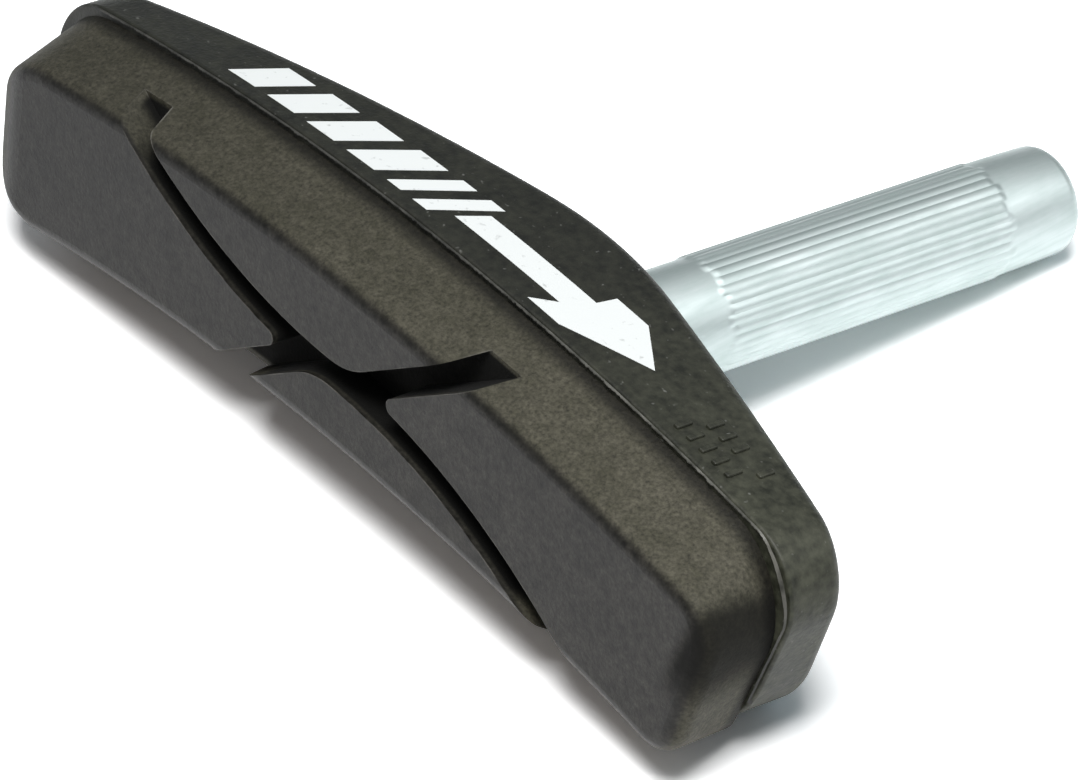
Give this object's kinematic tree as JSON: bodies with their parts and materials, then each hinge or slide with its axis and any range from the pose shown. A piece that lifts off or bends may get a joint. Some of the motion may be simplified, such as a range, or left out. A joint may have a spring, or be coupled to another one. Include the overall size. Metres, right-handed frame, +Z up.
{
  "type": "bicycle rim brake pad",
  "caption": "Arched rubber rim brake pad with slotted braking face, hump-backed rubber backing and a knurled smooth steel post for a clamp-type brake arm.",
  "frame": {"origin": "centre of the bounding box's bottom, on the surface the pad lies on", "axes": "+X along the pad towards its short end, +Y from the braking face towards the post's tip, +Z up from the surface the pad lies on"},
  "size_m": [0.0688, 0.0484, 0.0172],
  "materials": {
    "post_steel": "bright zinc plate with a slight blue-green cast, knurled grip",
    "plate_steel": "plain sheet steel, not seen",
    "backing_rubber": "smooth moulded black rubber",
    "friction_rubber": "matt dark grey brake rubber with fine grit"
  },
  "bodies": {
    "root": {"post": "post_steel", "carrier_plate": "plate_steel", "backing": "backing_rubber", "friction_block": "friction_rubber"}
  },
  "joints": []
}
